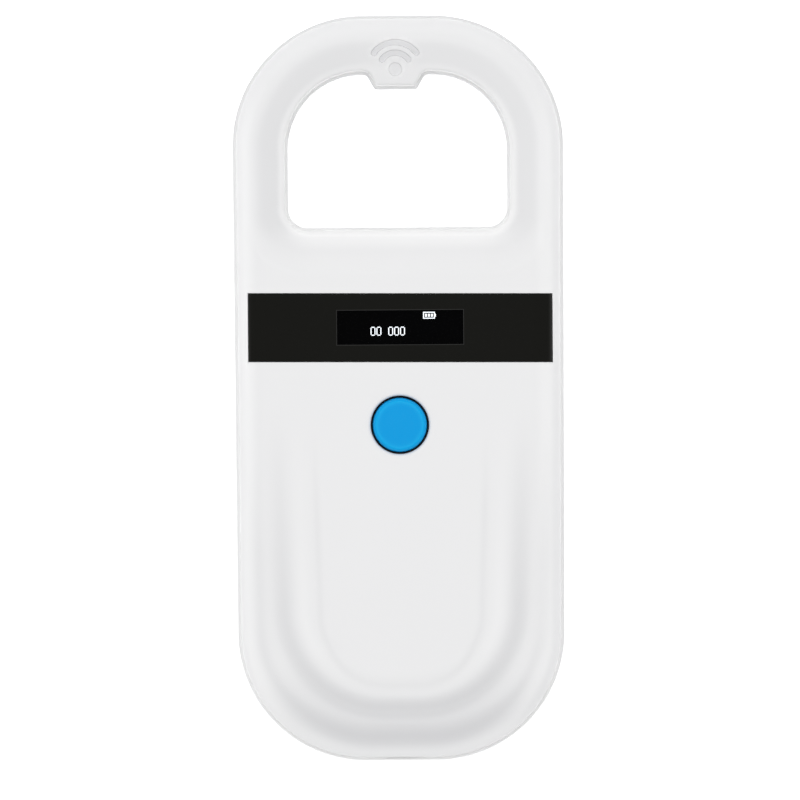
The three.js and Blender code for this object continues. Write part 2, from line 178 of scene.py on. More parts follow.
metals = {
    "plated_steel": {**steel, "colour": (0.66, 0.66, 0.68)},
    "screw_steel": {**steel, "colour": (0.6, 0.6, 0.62), "roughness": 0.28},
    "copper_wire": {**steel, "colour": (0.62, 0.25, 0.1), "roughness": 0.3},
    "cell_foil": {**steel, "colour": (0.56, 0.58, 0.62), "roughness": 0.34, "lineScale": 900.0, "line": 0.3},
}


# Green solder mask: a grid of tracks shows through it as paler, slightly raised lines.
def boardFinish():
    look = {"mask": (0.012, 0.11, 0.035), "track": (0.03, 0.2, 0.06), "pitch": 520.0}
    finish = Finish("board_green", Coat_Weight=0.4)
    sockets = {"Vector": finish.place(), "Scale": look["pitch"]}
    cells = finish.node("TexVoronoi", {"distance": "MANHATTAN", "feature": "F1"}, sockets, "Distance")
    tracks = finish.node("ValToRGB", {"stops": [(0.42, 0.0), (0.5, 1.0)]}, {0: cells})
    finish.drive(**{
        "Base Color": finish.blendColours(tracks, look["mask"], look["track"]),
        "Roughness": 0.32 - tracks * 0.08,
        "Normal": finish.bump(tracks, 0.3, 0.03),
    })
    return finish.material


finishes = {name: mouldedFinish(name, look).material for name, look in looks.items()}
finishes.update({name: metalFinish(name, look).material for name, look in metals.items()})
finishes["board_green"] = boardFinish()


# Plastic with light and shade painted into its colour: a value stored at the mesh's points runs it from a
# painted shade colour to a painted highlight colour.
def paintedShadingFinish(name, look, shade, light, own):
    finish = mouldedFinish(name, look)
    paintedShading = finish.node("Attribute", {"attribute_name": "paintedShading"}, {}, "Fac")
    mottle = finish.noise(look["mottleScale"], 3.0)
    mask = (paintedShading * own - shade[1] - mottle * 0.01) * (1 / (light[1] - shade[1]))
    finish.drive(**{"Base Color": finish.blendColours(mask, shade, light)})
    return finish


def placesOf(piece):  # a piece's points in millimetres
    return np.array([vertex.co for vertex in piece.data.vertices]) / mm


def setPaintedShading(piece, values):
    paintedShading = piece.data.attributes.new("paintedShading", "FLOAT", "POINT")
    paintedShading.data.foreach_set("value", np.asarray(values, np.float32))


# The white shell's painted shade colour, its painted highlight colour and its own colour.
shellLook = {"shade": (0.65, 0.651, 0.665), "light": (0.98, 0.98, 0.98), "own": 0.86}
# The blue cap's own colour, and the painted highlight colour used near its edge.
capLook = {"shade": (0.001, 0.332, 0.75), "light": (0.012, 0.45, 0.84), "own": 0.34}
finishes["shellWhite"] = paintedShadingFinish("shellWhite", looks["housing_white"], **shellLook).material
finishes["capBlue"] = paintedShadingFinish("capBlue", looks["button_blue"], **capLook).material
print("finishes ready:", len(finishes))


# Outlines, as closed loops of [x, y] points in millimetres that run anticlockwise

def unit(v):
    return v / np.linalg.norm(v)


# Polygon with a radius on each corner, grown outwards; every grow gives the same number of points.
def roundedLoop(corners, grow=0.0, spacing=0.8):
    places = [np.array(corner[:2], float) for corner in corners]
    count = len(places)
    arcs = []
    for i, (x, y, radius) in enumerate(corners):
        before = unit(places[i] - places[i - 1])
        after = unit(places[(i + 1) % count] - places[i])
        outBefore = np.array([before[1], -before[0]])
        outAfter = np.array([after[1], -after[0]])
        turn = math.atan2(before[0] * after[1] - before[1] * after[0], before @ after)
        lean = (outBefore + outAfter) / (1 + outBefore @ outAfter)
        side = 1 if turn > 0 else -1
        size = max(radius + side * grow, 0.02)
        centre = places[i] + lean * (grow - side * size)
        start = math.atan2(side * outBefore[1], side * outBefore[0])
        steps = max(3, math.ceil(abs(turn) * radius / spacing))
        angles = start + turn * np.linspace(0, 1, steps + 1)
        arcs.append(centre + size * np.stack([np.cos(angles), np.sin(angles)], 1))
    rest = []
    for i, arc in enumerate(arcs):
        following = arcs[(i + 1) % count]
        gap = np.linalg.norm(places[(i + 1) % count] - places[i])
        steps = max(1, math.ceil(gap / spacing / 2.5))
        between = np.linspace(arc[-1], following[0], steps + 1)[1:-1]
        rest += [arc, between]
    return np.concatenate(rest)


def circleLoop(x, y, radius, count):
    angles = np.linspace(0, 2 * math.pi, count, endpoint=False)
    return np.stack([x + radius * np.cos(angles), y + radius * np.sin(angles)], 1)


# Distance of each point to a loop, positive inside it.
def depthInside(points, loop):
    result = np.empty(len(points))
    start, end = loop, np.roll(loop, -1, 0)
    along = end - start
    length = (along ** 2).sum(1)
    for first in range(0, len(points), 4000):
        some = points[first:first + 4000, None]
        away = some - start
        t = np.clip((away * along).sum(2) / length, 0, 1)
        gap = np.sqrt(((away - t[..., None] * along) ** 2).sum(2).min(1))
        above = (start[:, 1] > some[..., 1]) != (end[:, 1] > some[..., 1])
        with np.errstate(divide="ignore", invalid="ignore"):
            crossing = start[:, 0] + along[:, 0] * (some[..., 1] - start[:, 1]) / along[:, 1]
        inside = (above & (some[..., 0] < crossing)).sum(1) % 2 == 1
        result[first:first + 4000] = np.where(inside, gap, -gap)
    return result


def smooth(value, low, high):
    t = np.clip((value - low) / (high - low), 0, 1)
    return t * t * (3 - 2 * t)


def bell(value, middle, width):
    return np.exp(-((value - middle) / width) ** 2)


# Meshes

def makeMesh(name, points, faces, sharp=40.0):
    mesh = bpy.data.meshes.new(name)
    mesh.from_pydata([tuple(p) for p in np.asarray(points) * mm], [], [tuple(map(int, f)) for f in faces])
    piece = bpy.data.objects.new(name, mesh)
    scene.collection.objects.link(piece)
    settle(piece, sharp)
    return piece


def settle(piece, sharp=40.0):  # welds, turns faces out and marks the edges that stay crisp
    shape = bmesh.new()
    shape.from_mesh(piece.data)
    bmesh.ops.remove_doubles(shape, verts=shape.verts, dist=1e-6)
    bmesh.ops.dissolve_degenerate(shape, edges=shape.edges, dist=1e-7)
    bmesh.ops.recalc_face_normals(shape, faces=shape.faces)
    limit = math.radians(sharp)
    for edge in shape.edges:
        edge.smooth = len(edge.link_faces) != 2 or edge.calc_face_angle(0) < limit
    for face in shape.faces:
        face.smooth = True
    shape.to_mesh(piece.data)
    shape.free()


def fillBetween(outer, holes=(), extra=None):  # flat triangles between loops: (points, triangles)
    points, edges = [], []
    for loop in (outer, *holes):
        first = len(points)
        points += [tuple(p) for p in loop]
        edges += [(first + i, first + (i + 1) % len(loop)) for i in range(len(loop))]
    if extra is not None:
        points += [tuple(p) for p in extra]
    made = geometry.delaunay_2d_cdt([Vector(p) for p in points], edges, [], 1, 1e-6)
    places = np.array([tuple(p) for p in made[0]])
    triangles = np.array([tuple(f) for f in made[2]])
    middle = places[triangles].mean(1)
    keep = np.ones(len(triangles), bool)
    for loop in holes:
        keep &= depthInside(middle, np.asarray(loop)) < 0
    return places, triangles[keep]


def strips(rows):  # quads between closed rows of equal length: (points, faces)
    count = len(rows[0])
    points = np.concatenate(rows)
    faces = []
    for r in range(len(rows) - 1):
        for i in range(count):
            j = (i + 1) % count
            faces.append((r * count + i, r * count + j, (r + 1) * count + j, (r + 1) * count + i))
    return points, faces


def join(*parts):
    points, faces, first = [], [], 0
    for some, shape in parts:
        points.append(np.asarray(some))
        faces += [tuple(int(i) + first for i in face) for face in shape]
        first += len(some)
    return np.concatenate(points), faces


def raised(loop, z):
    return np.column_stack([loop, np.broadcast_to(z, len(loop))])


def closedRows(name, rows, sharp=40.0):  # rows of points with a cap on the first and on the last
    points, faces = strips(rows)
    count = len(rows[0])
    last = len(points) - count
    caps = [tuple(range(count)), tuple(range(last, len(points)))]
    return makeMesh(name, points, faces + caps, sharp)


def prism(loop, low, high):
    return closedRows("form", [raised(loop, low), raised(loop, high)])


def block(x0, x1, y0, y1, z0, z1):
    return prism(np.array([[x0, y0], [x1, y0], [x1, y1], [x0, y1]]), z0, z1)


def turned(name, profile, x, y, count, sharp=40.0):  # [radius, z] points from axis to axis
    rows = [raised(circleLoop(x, y, max(radius, 0.001), count), z) for radius, z in profile]
    return closedRows(name, rows, sharp)


def rod(radius, low, high, x, y, count=24):
    return turned("form", [(radius, low), (radius, high)], x, y, count)


def carve(piece, tool, operation="DIFFERENCE", sharp=None):
    change = piece.modifiers.new("carve", "BOOLEAN")
    change.operation = operation
    change.solver = "EXACT"
    change.object = tool
    view = bpy.context.evaluated_depsgraph_get()
    mesh = bpy.data.meshes.new_from_object(piece.evaluated_get(view))
    piece.modifiers.clear()
    piece.data = mesh
    bpy.data.objects.remove(tool)
    if sharp:
        settle(piece, sharp)
    return piece


def arcProfile(radius, start, end, steps):  # [inset, rise] along a quarter round
    angles = np.radians(np.linspace(start, end, steps))
    return [(radius * (1 - math.cos(a)), radius * math.sin(a)) for a in angles]


# Housing

rearLow, rearHigh = boxOf("rear_shell")
frontLow, frontHigh = boxOf("front_shell")
capLow, capHigh = boxOf("button_cap")
lensLow, lensHigh = boxOf("display_window")
socketLow, socketHigh = boxOf("usb_shell")
screwMiddles = [sum(boxOf(f"housing_screw_{i}"))[:2] / 2 for i in range(1, 5)]
boardScrewMiddles = [sum(boxOf(f"board_screw_{i}"))[:2] / 2 for i in range(1, 5)]

housing = {
    "topRadius": 23.6, "footRadius": 23.2, "tailNarrowing": 0.5, "wall": 2.0,
    "top": frontHigh[2], "seamGap": 0.3, "step": rearHigh[0] - frontHigh[0],
    "frontEdge": 5.0, "backEdge": 3.5, "lip": 0.6,
}
housing["seam"] = rearHigh[2] + housing["seamGap"] / 2
half, length, narrow = rearHigh[0], rearHigh[1], housing["tailNarrowing"]
flare = 0.09  # the sides lean in towards the tail, so the outline stands a little wide at the top
bodyCorners = [
    (half + flare, length, housing["topRadius"]), (-half - flare, length, housing["topRadius"]),
    (narrow - half, -length, housing["footRadius"]), (half - narrow, -length, housing["footRadius"]),
]
handHole = {"half": 19.9, "top": length - 10.58, "foot": length - 38.4, "topRadius": 13.6, "footRadius": 3.6,
            "edge": 1.3, "topEdge": 0.55, "step": 0.5, "x": -0.12}
tab = {"topHalf": 5.3, "footHalf": 3.8, "height": 2.7, "rootRadius": 1.1, "tipRadius": 0.6, "x": -0.32}


def bodyLoop(grow, spacing=0.8):
    return roundedLoop(bodyCorners, grow, spacing)


def holeLoop(grow, withTab=False, spacing=0.6):
    side, top, foot = handHole["half"], handHole["top"], handHole["foot"]
    big, small = handHole["topRadius"], handHole["footRadius"]
    hang = []
    if withTab:
        tip, x = top - tab["height"], tab["x"]
        hang = [
            (x + tab["topHalf"], top, tab["rootRadius"]), (x + tab["footHalf"], tip, tab["tipRadius"]),
            (x - tab["footHalf"], tip, tab["tipRadius"]), (x - tab["topHalf"], top, tab["rootRadius"]),
        ]
    left, right = handHole["x"] - side, handHole["x"] + side
    corners = [(right, top, big), *hang, (left, top, big), (left, foot, small), (right, foot, small)]
    return roundedLoop(corners, grow, spacing)


# The loop's face falls in a slope towards the hand hole, gentler on the display's side of it.
slope = {"fall": 0.4, "gentle": 0.24, "reach": 6.3, "footReach": 8.2, "crest": 0.9}
# Steps in the tail's face: U-shaped bands, each as [half width, foot, radius, side drop, foot drop,
# side width, foot width, start of the fade, end of the fade].
tailSteps = {
    "panel": (15.3, -53.6, 13.0, 0.1, 0.4, 0.7, 3.4, -8.0, -22.0),
    "middle": (21.3, -57.9, 18.5, 1.5, 1.9, 4.4, 4.2, -4.0, -40.0),
    "outer": (25.7, -62.7, 21.0, 0.15, 1.6, 0.9, 4.6, -10.0, -30.0),
}
legSpread = 0.03  # the legs of each U part slightly as they run up


# How far each point lies beyond a U, how much it faces the U's foot, and how strong the step is there.
def stepPlace(points, half, foot, radius, fadeFrom, fadeTo):
    x, y = np.abs(points[:, 0]), points[:, 1]
    across = x - (half - radius) - legSpread * np.maximum(0, y - foot - radius)
    below = np.maximum(0, foot + radius - y)
    side = np.maximum(across, 0)
    beyond = np.where(below > 0, np.hypot(side, below), across) - radius
    facing = smooth(below / np.maximum(np.hypot(side, below), 1e-6), 0.45, 1.0)
    return beyond, facing, np.clip((fadeFrom - y) / (fadeFrom - fadeTo), 0, 1)


def tailPlace(points, name):
    step = tailSteps[name]
    return stepPlace(points, *step[:3], *step[-2:])


def stepDrop(points, half, foot, radius, sideDrop, footDrop, sideWidth, footWidth, fadeFrom, fadeTo):
    beyond, facing, fade = stepPlace(points, half, foot, radius, fadeFrom, fadeTo)
    drop = sideDrop + (footDrop - sideDrop) * facing
    width = sideWidth + (footWidth - sideWidth) * facing
    return drop * fade * smooth(beyond / width, -0.5, 0.5)


symbol = {"x": -0.37, "middle": handHole["top"] + 0.73, "depth": 0.38, "dot": 1.17, "edge": 0.08,
          "bands": [(2.97, 0.5, 54), (4.85, 0.5, 52.5)]}


def bandLoop(middle, halfWidth, spread, grow=0.0):  # round-ended arc above the symbol's middle
    a = math.radians(spread)
    size = halfWidth + grow
    steps = math.ceil(2 * a * middle / 0.3)
    sweep = np.linspace(-a, a, steps)
    end = np.linspace(0, math.pi, 9)
    outer = (middle + size) * np.stack([-np.sin(sweep), np.cos(sweep)], 1)
    inner = (middle - size) * np.stack([-np.sin(-sweep), np.cos(-sweep)], 1)
    left = middle * np.array([-math.sin(a), math.cos(a)])
    right = middle * np.array([math.sin(a), math.cos(a)])
    startLeft, startRight = math.pi / 2 + a + end, -math.pi / 2 - a + end
    endLeft = left + size * np.stack([np.cos(startLeft), np.sin(startLeft)], 1)
    endRight = right + size * np.stack([np.cos(startRight), np.sin(startRight)], 1)
    loop = np.concatenate([outer, endLeft[1:-1], inner, endRight[1:-1]])
    return loop + [symbol["x"], symbol["middle"]]


def symbolLoops(grow):
    dot = circleLoop(symbol["x"], symbol["middle"], symbol["dot"] + grow, 28)
    return [dot, *(bandLoop(*band, grow) for band in symbol["bands"])]


def faceHeight(points):  # the front face without its rounded borders
    x, y = points[:, 0], points[:, 1]
    away = -depthInside(points, holeLoop(0.0, spacing=0.4))
    low = smooth(-y, -handHole["foot"] - 3, -handHole["foot"] + 3)
    reach = slope["reach"] + (slope["footReach"] - slope["reach"]) * low
    gentle = low * (1 - smooth(np.abs(x), 14, 21))
    fall = slope["fall"] + (slope["gentle"] - slope["fall"]) * gentle
    past = reach - away
    crest = slope["crest"] * (1 - 0.5 * low)
    run = np.where(past > crest, past, np.where(past > -crest, (past + crest) ** 2 / (4 * crest), 0))
    drop = fall * run
    for step in tailSteps.values():
        drop = drop + stepDrop(points, *step)
    edge = symbol["edge"]
    close = (y > handHole["top"] - 4) & (np.abs(x) < 8)
    sunk = np.zeros(len(points))
    for loop in symbolLoops(0.0):
        sunk[close] = np.maximum(sunk[close], smooth(depthInside(points[close], loop), -edge, edge))
    return housing["top"] - drop - symbol["depth"] * sunk


def holeEdge(points):  # rounding of the face's edge at the hand hole, tight along its top and round the tab
    high = smooth(points[:, 1], 44, 53)
    return handHole["edge"] + (handHole["topEdge"] - handHole["edge"]) * high


# Light and shade painted into the front's colour: darker on the slope and in the valleys as painted shade,
# lighter on bevels and edges as painted highlights.
frontPaintedShades = {
    "edge": 0.055, "rim": 0.045, "line": 0.045, "slope": 0.055, "left": 0.02, "opening": 0.18,
    "openingTop": 0.06, "wall": 0.14, "ledge": 0.09, "valley": 0.1, "crest": 0.03, "tail": 0.088,
    "symbol": 0.085, "dot": 0.06, "halo": 0.04, "seamFoot": 0.12,
}


def paintBorderShading(paintedShading, points, high):  # a painted highlight band along the outline's bevel, and painted shade on the rim outside it
    x, y = points[:, 0], points[:, 1]
    inset = depthInside(points, bodyLoop(-housing["step"], 0.6))
    foot = smooth(-y, 50, 60) * smooth(26 - np.abs(x), 0, 8)
    start, end = np.where(x < 0, 0.3, 1.0), np.where(x < 0, 1.9, 3.0)
    lit = smooth(inset, start, start + 1.1) * (1 - smooth(inset, end, end + 1.9))
    paintedShading += frontPaintedShades["edge"] * lit * (1 - foot) * (1 - high)
    dim = np.maximum(high, 0.7 * smooth(x, 5, 20))
    paintedShading -= frontPaintedShades["rim"] * (1 - smooth(inset, 0.5, 2.4)) * dim * (1 - foot)


def paintOpeningShading(paintedShading, points, high):  # painted shade on the slope round the hand hole, darker towards the left; painted light on the hole's edge, its wall and the ledge below it
    shade, x, y = frontPaintedShades, points[:, 0], points[:, 1]
    away = -depthInside(points, holeLoop(0.0, spacing=0.6))
    awayFromTab = -depthInside(points, holeLoop(0.0, True))
    ring = (1 - smooth(away, slope["reach"] - 2.2, slope["reach"] + 1.0)) * smooth(y, 22, 32)
    besideTab = tab["topHalf"] + 1.2 - np.abs(x - tab["x"])
    onTab = high * smooth(besideTab, 0, 1.4) * (1 - smooth(away, 0.5, 2.5))
    paintedShading -= ring * (shade["slope"] + shade["left"] * smooth(-x, 0, 12)) * (1 - 0.2 * high - 0.8 * onTab)
    opening = shade["opening"] + (shade["openingTop"] - shade["opening"]) * high
    paintedShading += opening * (1 - onTab) * (1 - smooth(awayFromTab, 0.9, 2.2))
    paintedShading += shade["wall"] * high * (1 - smooth(awayFromTab, 0.5, 0.6))
    below = smooth(handHole["foot"] - y, -1, 2) * (1 - smooth(np.abs(x), 15, 24))
    paintedShading += shade["ledge"] * below * (1 - smooth(away, 2.0, 4.6))


def paintTailShading(paintedShading, points):  # painted shade in the valleys and painted highlights on the crests of the tail's steps
    shade = frontPaintedShades
    beyond, facing, fade = tailPlace(points, "middle")
    paintedShading -= shade["valley"] * fade * bell(beyond, -0.1, 1.8) * (1 + 0.35 * facing)
    paintedShading += shade["crest"] * fade * bell(beyond, -3.6, 1.2) * (1 - facing)
    paintedShading -= shade["tail"] * facing * fade * smooth(beyond, 0.5, 2.0)
    beyond, facing, fade = tailPlace(points, "panel")
    paintedShading -= shade["line"] * (1 - 0.5 * facing) * fade * bell(beyond + 0.7, facing, 0.6)
    beyond, facing, fade = tailPlace(points, "outer")
    valley = bell(beyond, 0.4 * facing, 1.2 + 0.6 * facing)
    paintedShading -= shade["tail"] * (0.6 + 0.4 * facing) * fade * valley
    paintedShading += shade["tail"] * facing * fade * smooth(beyond, 1.5, 3.6)


def paintSymbolShading(paintedShading, points):  # painted shade in the sunk symbol, with a painted highlight line round it
    shade = frontPaintedShades
    close = (points[:, 1] > handHole["top"] - 5) & (np.abs(points[:, 0]) < 9)
    reaches = [depthInside(points[close], loop) for loop in symbolLoops(0.0)]
    for reach, depth in zip(reaches, (shade["dot"], shade["symbol"], shade["symbol"])):
        paintedShading[close] -= depth * smooth(reach, -0.05, 0.1)
    nearest = np.max(reaches, 0)
    paintedShading[close] += shade["halo"] * (smooth(nearest, -0.7, -0.35) - smooth(nearest, -0.2, 0.0))


# Light and shade painted into the front shell's colour, with painted light at the foot of its wall by the
# seam, where shade falls.
def frontPaintedShading(places):
    points, seam = places[:, :2], housing["seam"]
    paintedShading = np.ones(len(points))
    high = smooth(points[:, 1], 44, 56)
    paintBorderShading(paintedShading, points, high)
    paintOpeningShading(paintedShading, points, high)
    paintTailShading(paintedShading, points)
    paintSymbolShading(paintedShading, points)
    return paintedShading + frontPaintedShades["seamFoot"] * (1 - smooth(places[:, 2], seam + 0.2, seam + 0.8))


def frontSkin():
    shell, radius = housing, housing["frontEdge"]
    wallTop = shell["top"] - radius
    rows = [raised(bodyLoop(-shell["step"] - 0.15), shell["seam"]),
            raised(bodyLoop(-shell["step"]), shell["seam"] + 0.15),
            raised(bodyLoop(-shell["step"]), (shell["seam"] + wallTop) / 2)]
    for inset, rise in arcProfile(radius, 0, 64, 13):
        loop = bodyLoop(-shell["step"] - inset)
        rows.append(raised(loop, wallTop + (faceHeight(loop) - wallTop) * rise / radius))
    step = handHole["step"]
    holeRows = []
    for inset, _ in arcProfile(handHole["edge"], 0, 50, 8):
        loop = holeLoop(step + inset, True)
        edge = holeEdge(loop)
        left = np.clip(edge - inset, 0, edge)
        holeRows.append(raised(loop, faceHeight(loop) - edge + np.sqrt(edge ** 2 - left ** 2)))
    rim = holeLoop(step, True)
    holeRows = [raised(holeLoop(step + 0.15, True), shell["seam"]),
                raised(rim, shell["seam"] + 0.15), *holeRows]
    outer, hole = rows[-1][:, :2], holeRows[-1][:, :2]
    border, outline = holeLoop(step, True, 0.3), bodyLoop(-shell["step"], 0.4)

    def height(points):
        edge = holeEdge(points)
        left = np.clip(edge + depthInside(points, border), 0, edge)
        face = faceHeight(points) - edge + np.sqrt(edge ** 2 - left ** 2)
        inset = np.clip(depthInside(points, outline), 0, radius)
        return wallTop + (face - wallTop) * np.sqrt(1 - (1 - inset / radius) ** 2)

    fine = 0.55
    xs = np.arange(-half, half, fine)
    ys = np.arange(-length, length, fine * 0.87)
    gridX, gridY = np.meshgrid(xs, ys)
    gridX = gridX + (np.arange(len(ys)) % 2)[:, None] * fine / 2
    column, row = np.meshgrid(np.arange(len(xs)), np.arange(len(ys)))
    coarse = ((column % 4 == 0) & (row % 4 == 0)).ravel()
    grid = np.stack([gridX.ravel(), gridY.ravel()], 1)
    busy = (grid[:, 1] > 17) | (grid[:, 1] < -6) & (np.abs(grid[:, 0]) > 12.5) | (grid[:, 1] < -48)
    busy |= depthInside(grid, outline) < radius + 0.6
    grid = grid[busy | coarse]
    marks = [loop for grow in (-symbol["edge"], 0.0, symbol["edge"]) for loop in symbolLoops(grow)]
    inside = (depthInside(grid, outer) > 0.3) & (depthInside(grid, hole) < -0.3)
    grid = grid[inside]
    for loop in marks:
        grid = grid[np.abs(depthInside(grid, loop)) > 0.1]
    rings = np.concatenate([holeLoop(step + inset, True)
                            for inset, _ in arcProfile(handHole["edge"], 58, 90, 5)])
    rings = rings[-depthInside(rings, hole) > 0.06]
    top, triangles = fillBetween(outer, [hole], np.concatenate([grid, rings, *marks]))
    top = raised(top, height(top))
    floor, floorFaces = fillBetween(rows[0][:, :2], [holeRows[0][:, :2]])
    floor = raised(floor, shell["seam"])
    parts = join(strips(rows), strips(holeRows), (top, triangles), (floor, floorFaces))
    return makeMesh("frontShell", *parts)


cavity = {
    "roof": 14.6, "foot": 9, "top": 21, "board": {"half": 25, "low": -44, "roof": 16.8},
    "cell": {"half": 18.5, "low": -36}, "window": {"half": 12.5, "halfHeight": 4.1, "foot": 15, "roof": 19.5},
    "post": {"radius": 2.8, "foot": 6, "bore": 1.15, "boreTop": 15.2},
    "boardPost": {"radius": 2.5, "bore": 1.05, "boreTop": 14.3}, "postTop": 18.4,
}


def frontTools():  # everything that is hollow inside the front shell, as one form
    inner = -housing["step"] - housing["wall"]
    low, foot, top = housing["seam"] - 3, cavity["foot"], cavity["top"]
    board, cell, window = cavity["board"], cavity["cell"], cavity["window"]
    post, boardPost = cavity["post"], cavity["boardPost"]
    hollow = prism(bodyLoop(inner, 2.0), low, cavity["roof"])
    carve(hollow, prism(holeLoop(-inner, spacing=1.5), low - 1, 15))
    carve(hollow, block(-board["half"], board["half"], board["low"], top, foot, board["roof"]), "UNION")
    roof = housing["top"] - housing["wall"]
    carve(hollow, block(-cell["half"], cell["half"], cell["low"], top, foot, roof), "UNION")
    for x, y in screwMiddles:
        carve(hollow, rod(post["radius"], post["foot"], cavity["postTop"], x, y))
    for x, y in boardScrewMiddles:
        carve(hollow, rod(boardPost["radius"], boxOf("main_board")[1][2] + 0.3, cavity["postTop"], x, y))
    middle = (lensLow[1] + lensHigh[1]) / 2
    carve(hollow, block(-window["half"], window["half"], middle - window["halfHeight"],
                        middle + window["halfHeight"], window["foot"], window["roof"]), "UNION")
    for x, y in screwMiddles:
        carve(hollow, rod(post["bore"], post["foot"], post["boreTop"], x, y), "UNION")
    for x, y in boardScrewMiddles:
        carve(hollow, rod(boardPost["bore"], foot, boardPost["boreTop"], x, y), "UNION")
    return hollow


def socketLoop(grow):  # the charging socket's outline, with its two cut lower corners
    wide, low, high = socketHigh[0] - 0.1, socketLow[2], socketHigh[2]
    corners = [(wide, high, 0.6), (-wide, high, 0.6), (-wide, low + 1.2, 0.5), (-wide + 0.95, low, 0.5),
               (wide - 0.95, low, 0.5), (wide, low + 1.2, 0.5)]
    return roundedLoop(corners, grow, 0.15)


def alongY(loop, y):
    return np.column_stack([loop[:, 0], np.broadcast_to(y, len(loop)), loop[:, 1]])


stripLean = 0.0073  # the strip sits a hair off square


def lensForm(name, spread, sink, top, sharp=40.0, rise=0.0):  # a strip of the front face
    x0, x1, y0, y1 = lensLow[0] - spread, lensHigh[0] + spread, lensLow[1] - spread, lensHigh[1] + spread
    bend = half - housing["step"] - housing["frontEdge"]
    xs = np.unique(np.round(np.concatenate([
        np.linspace(x0, -bend, 15), np.linspace(-bend, bend, 25), np.linspace(bend, x1, 15)]), 6))
    ys = np.linspace(y0, y1, 7)
    edge = 0.12
    if top is None:
        ys = np.unique(np.concatenate([[y0 + edge * 0.35, y0 + edge, y1 - edge, y1 - edge * 0.35], ys]))
    grid = np.stack(np.meshgrid(xs, ys), 2).reshape(-1, 2)
    flat = grid.copy()
    grid[:, 1] -= stripLean * grid[:, 0]
    outline = bodyLoop(-housing["step"], 0.4)
    radius = housing["frontEdge"]
    inset = np.clip(depthInside(grid, outline), 0, radius)
    wallTop = housing["top"] - radius
    face = wallTop + np.sqrt(radius ** 2 - (radius - inset) ** 2)
    columns, count = len(xs), len(grid)
    if top is None:
        reach = np.minimum(np.minimum(flat[:, 1] - y0, y1 - flat[:, 1]),
                           np.minimum(flat[:, 0] - x0, x1 - flat[:, 0]))
        left = np.clip(edge - reach, 0, edge)
        upper = face + rise - edge + np.sqrt(edge ** 2 - left ** 2)
    else:
        upper = np.full(count, top)
    points = np.concatenate([raised(grid, upper), raised(grid, face - sink)])
    faces = []
    for r in range(len(ys) - 1):
        for c in range(columns - 1):
            a = r * columns + c
            quad = (a, a + 1, a + columns + 1, a + columns)
            faces += [quad, tuple(i + count for i in reversed(quad))]
    border = list(range(columns))
    border += [r * columns + columns - 1 for r in range(1, len(ys))]
    border += [(len(ys) - 1) * columns + c for c in range(columns - 2, -1, -1)]
    border += [r * columns for r in range(len(ys) - 2, 0, -1)]
    for i, a in enumerate(border):
        b = border[(i + 1) % len(border)]
        faces.append((b, a, a + count, b + count))
    return makeMesh(name, points, faces, sharp)


def buttonWell():
    well = {"radius": 5.26, "mouth": 0.6, "foot": 12}
    x, y = (capLow[:2] + capHigh[:2]) / 2
    profile = [(well["radius"], well["foot"]), (well["radius"], housing["top"] - well["mouth"])]
    for angle in range(15, 91, 15):
        a = math.radians(angle)
        profile.append((well["radius"] + well["mouth"] * (1 - math.cos(a)),
                        housing["top"] - well["mouth"] * (1 - math.sin(a))))
    profile.append((well["radius"] + well["mouth"], housing["top"] + 2))
    return turned("form", profile, x, y, 96)


def lipRing(loop, near, far):  # a square ring that stands across the seam
    corners = ((near, 1), (near, -1), (far, -1), (far, 1), (near, 1))
    rows = [raised(loop(grow), housing["seam"] + rise) for grow, rise in corners]
    return makeMesh("form", *strips(rows))


def frontShell():
    shell = frontSkin()
    carve(shell, frontTools())
    carve(shell, lensForm("form", 0.13, 0.95, housing["top"] + 3))
    carve(shell, buttonWell())
    port = socketLoop(0.3)
    carve(shell, closedRows("form", [alongY(port, -length - 1), alongY(port, socketHigh[1] + 0.5)]))
    inner, lip, root = housing["step"] + housing["wall"], housing["lip"], 0.35
    carve(shell, lipRing(lambda grow: bodyLoop(grow, 1.5), -inner + root, -inner - lip), "UNION")
    carve(shell, lipRing(holeLoop, inner - root, inner + lip), "UNION")
    carve(shell, block(-4.4, 4.4, -length + 0.9, -length + 6, 8, 10.6), sharp=32)  # room for the socket
    # Paints light and shade into the front shell's colour.
    setPaintedShading(shell, frontPaintedShading(placesOf(shell)))
    return finishPiece(shell, "housing_white", "housing", "front_shell", finish="shellWhite")


rear = {
    "rim": 0.6, "holeRim": 0.5, "holeFoot": 0.55, "post": 2.8,
    "sound": {"count": 7, "radius": 0.6, "ring": 2.4},
    "sink": {"mouth": 2.35, "radius": 2.2, "depth": 1.9, "bore": 1.3},
}
# Painted light and shade on the rear shell's upper side: lighter towards the tail, darker towards the top,
# and painted light on the ledge by the seam, where shade falls.
rearPaintedShades = {"tail": 0.1, "top": 0.08, "ledge": 0.14}


def softRim(loop, soft, degrees):  # rows that round an edge at the seam
    return [raised(loop(soft * (1 - math.sin(a))), rearHigh[2] - soft + soft * math.cos(a))
            for a in np.radians(degrees)]


